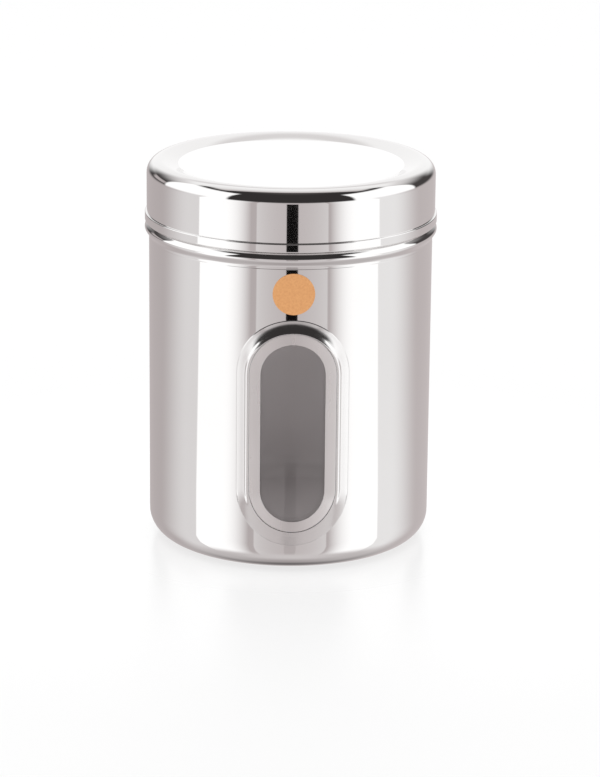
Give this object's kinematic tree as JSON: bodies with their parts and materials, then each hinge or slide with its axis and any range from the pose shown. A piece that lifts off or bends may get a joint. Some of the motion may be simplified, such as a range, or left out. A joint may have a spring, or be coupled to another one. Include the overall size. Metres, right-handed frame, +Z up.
{
  "type": "kitchen spice canister",
  "caption": "Polished stainless steel spice canister with a lift-off lid and an oval see-through window in a raised surround.",
  "frame": {"origin": "centre of the flat base, on the surface that the canister stands on", "axes": "+Z up along the canister's axis, -Y out of the window, +X to the right when facing the window"},
  "size_m": [0.103, 0.103, 0.1364],
  "materials": {
    "polished_steel": "mirror-polished stainless steel",
    "lid_steel": "mirror-polished stainless steel",
    "satin_steel": "satin stainless steel",
    "inner_steel": "dull pressed stainless steel",
    "clear_acrylic": "clear acrylic sheet",
    "clear_silicone": "translucent food-grade silicone",
    "label_paper": "plain coated paper"
  },
  "bodies": {
    "canister": {"canister_body": "polished_steel", "window_bezel": "satin_steel", "window_pane": "clear_acrylic", "window_gasket": "clear_silicone", "window_retainer": "inner_steel", "round_label": "label_paper"},
    "lid": {"lid": "lid_steel"}
  },
  "joints": [
    {"name": "lid_lift", "type": "slide", "parent": "canister", "child": "lid", "axis": [0, 0, 1], "range_m": [0, 0.06]}
  ]
}
